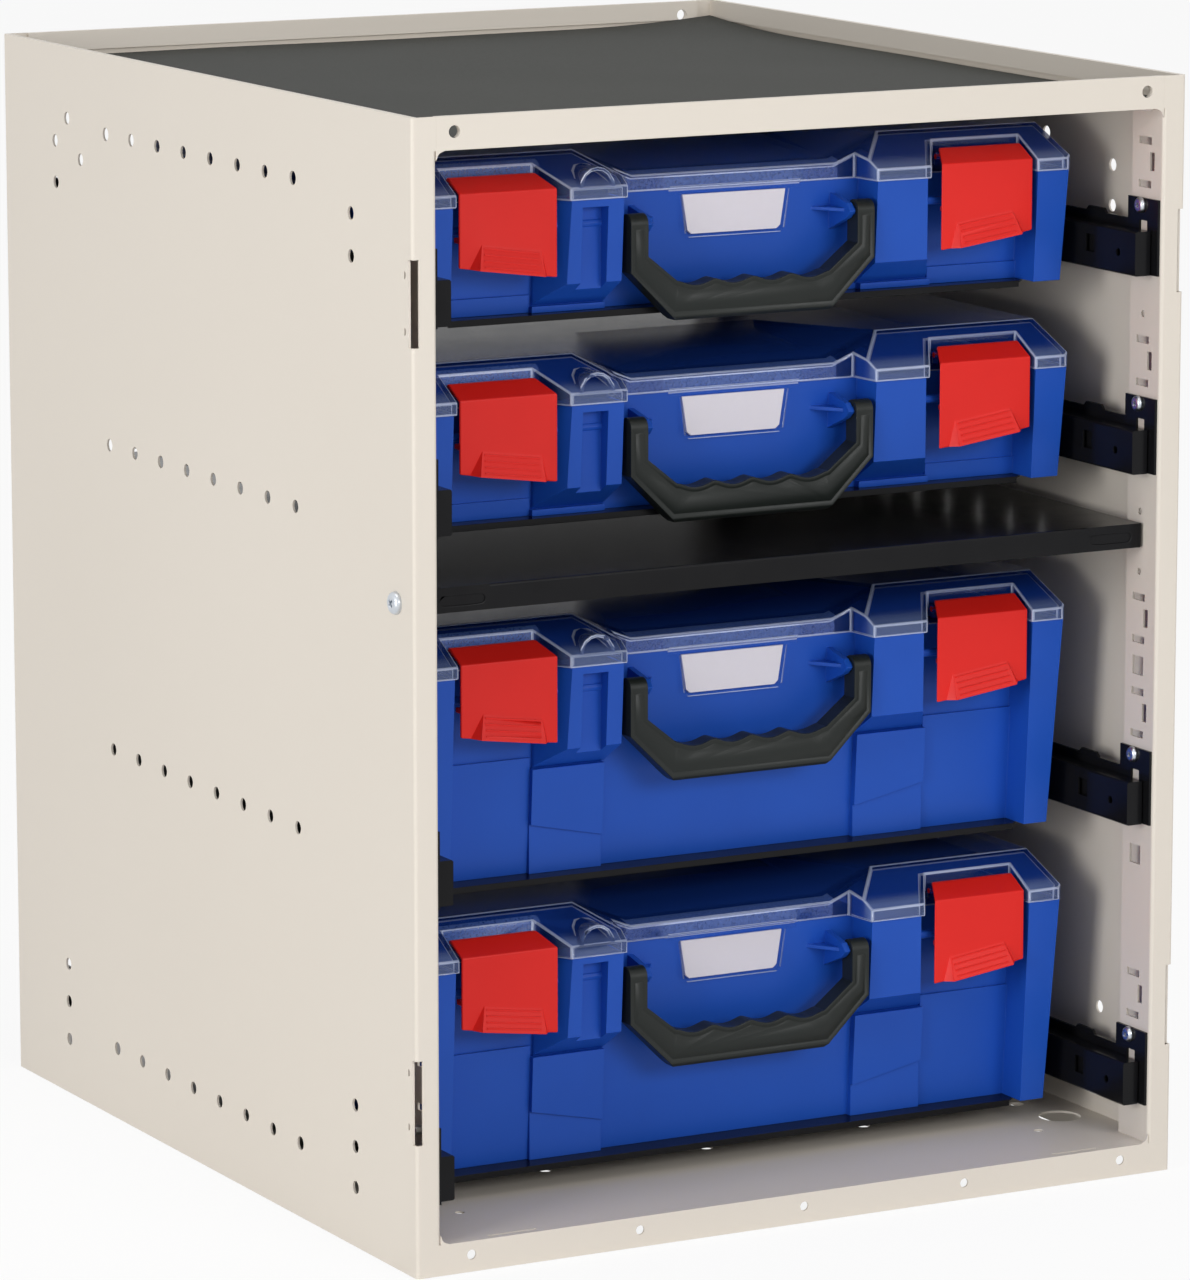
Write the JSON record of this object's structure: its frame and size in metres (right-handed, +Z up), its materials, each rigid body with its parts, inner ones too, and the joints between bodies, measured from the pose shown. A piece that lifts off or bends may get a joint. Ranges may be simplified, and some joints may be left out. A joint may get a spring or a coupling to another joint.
{
  "type": "case storage cabinet",
  "caption": "Open-fronted sheet-steel cabinet with telescopic trays, each holding a latched plastic parts case with a clear lid and a carrying handle.",
  "frame": {"origin": "middle of the cabinet's footprint, on the floor", "axes": "+Z up, -Y out of the open front, +X to the right seen from the front"},
  "size_m": [0.4708, 0.515, 0.604],
  "materials": {
    "cabinet_paint": "satin beige powder coat",
    "black_paint": "gloss black",
    "mat_rubber": "matte",
    "case_plastic": "satin moulded blue",
    "clear_plastic": "clear moulded plastic",
    "latch_plastic": "satin moulded red",
    "handle_plastic": "satin",
    "label_card": "matte card behind a clear window",
    "zinc": "bright zinc plate"
  },
  "bodies": {
    "cabinet": {"side_panel_left": "cabinet_paint", "side_panel_right": "cabinet_paint", "top_panel": "cabinet_paint", "bottom_panel": "cabinet_paint", "top_mat": "mat_rubber", "shelf": "black_paint", "shelf_screws": "zinc", "slide_screws": "zinc", "slide_fixed_left_1": "black_paint", "slide_fixed_right_1": "black_paint", "slide_fixed_left_2": "black_paint", "slide_fixed_right_2": "black_paint", "slide_fixed_left_3": "black_paint", "slide_fixed_right_3": "black_paint", "slide_fixed_left_4": "black_paint", "slide_fixed_right_4": "black_paint"},
    "slide_left_1": {"slide_middle_left_1": "black_paint"},
    "slide_right_1": {"slide_middle_right_1": "black_paint"},
    "tray_1": {"tray_1": "black_paint", "slide_runner_left_1": "black_paint", "slide_runner_right_1": "black_paint"},
    "case_1": {"case_body_1": "case_plastic", "case_lid_1": "clear_plastic", "label_1": "label_card"},
    "handle_1": {"handle_1": "handle_plastic"},
    "latch_left_1": {"latch_left_1": "latch_plastic"},
    "latch_right_1": {"latch_right_1": "latch_plastic"},
    "slide_left_2": {"slide_middle_left_2": "black_paint"},
    "slide_right_2": {"slide_middle_right_2": "black_paint"},
    "tray_2": {"tray_2": "black_paint", "slide_runner_left_2": "black_paint", "slide_runner_right_2": "black_paint"},
    "case_2": {"case_body_2": "case_plastic", "case_lid_2": "clear_plastic", "label_2": "label_card"},
    "handle_2": {"handle_2": "handle_plastic"},
    "latch_left_2": {"latch_left_2": "latch_plastic"},
    "latch_right_2": {"latch_right_2": "latch_plastic"},
    "slide_left_3": {"slide_middle_left_3": "black_paint"},
    "slide_right_3": {"slide_middle_right_3": "black_paint"},
    "tray_3": {"tray_3": "black_paint", "slide_runner_left_3": "black_paint", "slide_runner_right_3": "black_paint"},
    "case_3": {"case_body_3": "case_plastic", "case_lid_3": "clear_plastic", "label_3": "label_card"},
    "handle_3": {"handle_3": "handle_plastic"},
    "latch_left_3": {"latch_left_3": "latch_plastic"},
    "latch_right_3": {"latch_right_3": "latch_plastic"},
    "slide_left_4": {"slide_middle_left_4": "black_paint"},
    "slide_right_4": {"slide_middle_right_4": "black_paint"},
    "tray_4": {"tray_4": "black_paint", "slide_runner_left_4": "black_paint", "slide_runner_right_4": "black_paint"},
    "case_4": {"case_body_4": "case_plastic", "case_lid_4": "clear_plastic", "label_4": "label_card"},
    "handle_4": {"handle_4": "handle_plastic"},
    "latch_left_4": {"latch_left_4": "latch_plastic"},
    "latch_right_4": {"latch_right_4": "latch_plastic"}
  },
  "joints": [
    {"name": "slide_left_1", "type": "slide", "parent": "cabinet", "child": "slide_left_1", "axis": [0, -1, 0], "range_m": [0, 0.2]},
    {"name": "slide_right_1", "type": "slide", "parent": "cabinet", "child": "slide_right_1", "axis": [0, -1, 0], "range_m": [0, 0.2]},
    {"name": "tray_1", "type": "slide", "parent": "cabinet", "child": "tray_1", "axis": [0, -1, 0], "range_m": [0, 0.4]},
    {"name": "case_1", "type": "slide", "parent": "tray_1", "child": "case_1", "axis": [0, -1, 0], "range_m": [0, 0.34]},
    {"name": "handle_1", "type": "hinge", "parent": "case_1", "child": "handle_1", "pos_m": [0, -0.19325, 0.12965], "axis": [-1, 0, 0], "range_deg": [0, 90]},
    {"name": "latch_left_1", "type": "hinge", "parent": "case_1", "child": "latch_left_1", "pos_m": [-0.145, -0.183, 0.1543], "axis": [-1, 0, 0], "range_deg": [0, 90]},
    {"name": "latch_right_1", "type": "hinge", "parent": "case_1", "child": "latch_right_1", "pos_m": [0.145, -0.183, 0.1543], "axis": [-1, 0, 0], "range_deg": [0, 90]},
    {"name": "slide_left_2", "type": "slide", "parent": "cabinet", "child": "slide_left_2", "axis": [0, -1, 0], "range_m": [0, 0.2]},
    {"name": "slide_right_2", "type": "slide", "parent": "cabinet", "child": "slide_right_2", "axis": [0, -1, 0], "range_m": [0, 0.2]},
    {"name": "tray_2", "type": "slide", "parent": "cabinet", "child": "tray_2", "axis": [0, -1, 0], "range_m": [0, 0.4]},
    {"name": "case_2", "type": "slide", "parent": "tray_2", "child": "case_2", "axis": [0, -1, 0], "range_m": [0, 0.34]},
    {"name": "handle_2", "type": "hinge", "parent": "case_2", "child": "handle_2", "pos_m": [0, -0.19325, 0.28675], "axis": [-1, 0, 0], "range_deg": [0, 90]},
    {"name": "latch_left_2", "type": "hinge", "parent": "case_2", "child": "latch_left_2", "pos_m": [-0.145, -0.183, 0.3114], "axis": [-1, 0, 0], "range_deg": [0, 90]},
    {"name": "latch_right_2", "type": "hinge", "parent": "case_2", "child": "latch_right_2", "pos_m": [0.145, -0.183, 0.3114], "axis": [-1, 0, 0], "range_deg": [0, 90]},
    {"name": "slide_left_3", "type": "slide", "parent": "cabinet", "child": "slide_left_3", "axis": [0, -1, 0], "range_m": [0, 0.2]},
    {"name": "slide_right_3", "type": "slide", "parent": "cabinet", "child": "slide_right_3", "axis": [0, -1, 0], "range_m": [0, 0.2]},
    {"name": "tray_3", "type": "slide", "parent": "cabinet", "child": "tray_3", "axis": [0, -1, 0], "range_m": [0, 0.4]},
    {"name": "case_3", "type": "slide", "parent": "tray_3", "child": "case_3", "axis": [0, -1, 0], "range_m": [0, 0.34]},
    {"name": "handle_3", "type": "hinge", "parent": "case_3", "child": "handle_3", "pos_m": [0, -0.19325, 0.42625], "axis": [-1, 0, 0], "range_deg": [0, 90]},
    {"name": "latch_left_3", "type": "hinge", "parent": "case_3", "child": "latch_left_3", "pos_m": [-0.145, -0.183, 0.4509], "axis": [-1, 0, 0], "range_deg": [0, 90]},
    {"name": "latch_right_3", "type": "hinge", "parent": "case_3", "child": "latch_right_3", "pos_m": [0.145, -0.183, 0.4509], "axis": [-1, 0, 0], "range_deg": [0, 90]},
    {"name": "slide_left_4", "type": "slide", "parent": "cabinet", "child": "slide_left_4", "axis": [0, -1, 0], "range_m": [0, 0.2]},
    {"name": "slide_right_4", "type": "slide", "parent": "cabinet", "child": "slide_right_4", "axis": [0, -1, 0], "range_m": [0, 0.2]},
    {"name": "tray_4", "type": "slide", "parent": "cabinet", "child": "tray_4", "axis": [0, -1, 0], "range_m": [0, 0.4]},
    {"name": "case_4", "type": "slide", "parent": "tray_4", "child": "case_4", "axis": [0, -1, 0], "range_m": [0, 0.34]},
    {"name": "handle_4", "type": "hinge", "parent": "case_4", "child": "handle_4", "pos_m": [0, -0.19325, 0.53405], "axis": [-1, 0, 0], "range_deg": [0, 90]},
    {"name": "latch_left_4", "type": "hinge", "parent": "case_4", "child": "latch_left_4", "pos_m": [-0.145, -0.183, 0.5587], "axis": [-1, 0, 0], "range_deg": [0, 90]},
    {"name": "latch_right_4", "type": "hinge", "parent": "case_4", "child": "latch_right_4", "pos_m": [0.145, -0.183, 0.5587], "axis": [-1, 0, 0], "range_deg": [0, 90]}
  ],
  "couplings": [
    {"joint": "slide_left_1", "follows": "tray_1", "ratio": 0.5},
    {"joint": "slide_right_1", "follows": "tray_1", "ratio": 0.5},
    {"joint": "slide_left_2", "follows": "tray_2", "ratio": 0.5},
    {"joint": "slide_right_2", "follows": "tray_2", "ratio": 0.5},
    {"joint": "slide_left_3", "follows": "tray_3", "ratio": 0.5},
    {"joint": "slide_right_3", "follows": "tray_3", "ratio": 0.5},
    {"joint": "slide_left_4", "follows": "tray_4", "ratio": 0.5},
    {"joint": "slide_right_4", "follows": "tray_4", "ratio": 0.5}
  ]
}
